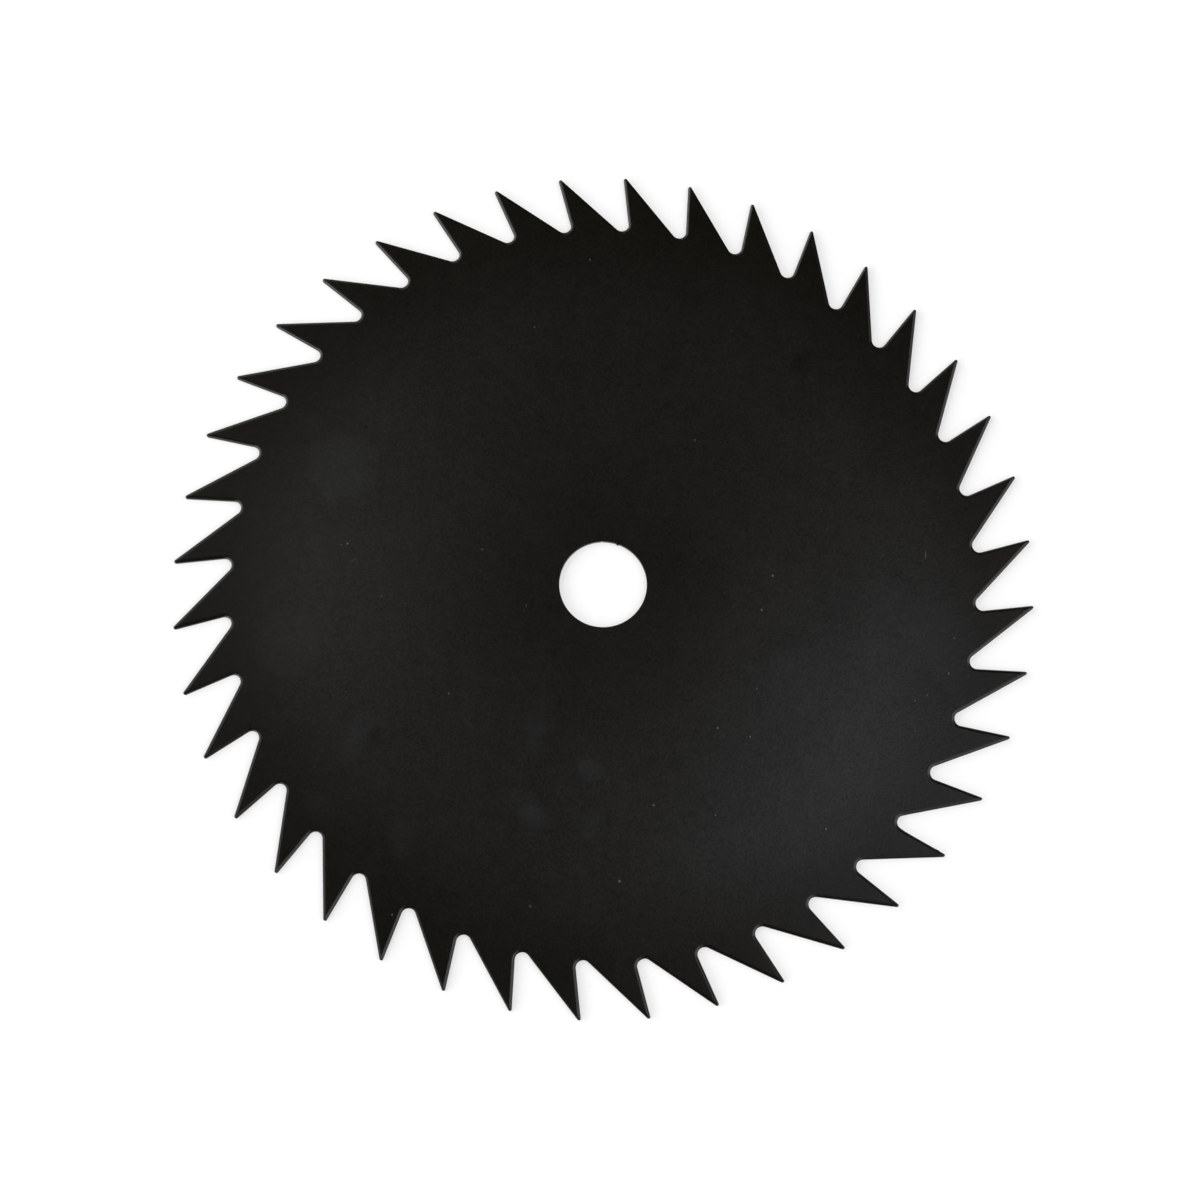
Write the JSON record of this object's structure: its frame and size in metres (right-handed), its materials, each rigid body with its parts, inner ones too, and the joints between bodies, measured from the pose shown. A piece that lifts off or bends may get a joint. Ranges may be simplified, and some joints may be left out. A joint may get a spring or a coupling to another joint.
{
  "type": "brush cutter blade",
  "caption": "Flat round steel brush cutter blade with hooked saw teeth, round gullets, rolled upper edges and a plain central bore, coated black.",
  "frame": {"origin": "centre of the bore at the blade's lower face, on which it lies", "axes": "+Z along the bore axis towards the upper face with the rolled edges, +X through the tip of one tooth; the teeth hook towards +Y there, so they lead when the blade turns anticlockwise seen from +Z"},
  "size_m": [0.25, 0.25, 0.0014],
  "materials": {
    "black_coat": "matte black coating with a fine grain"
  },
  "bodies": {
    "root": {"blade": "black_coat"}
  },
  "joints": []
}
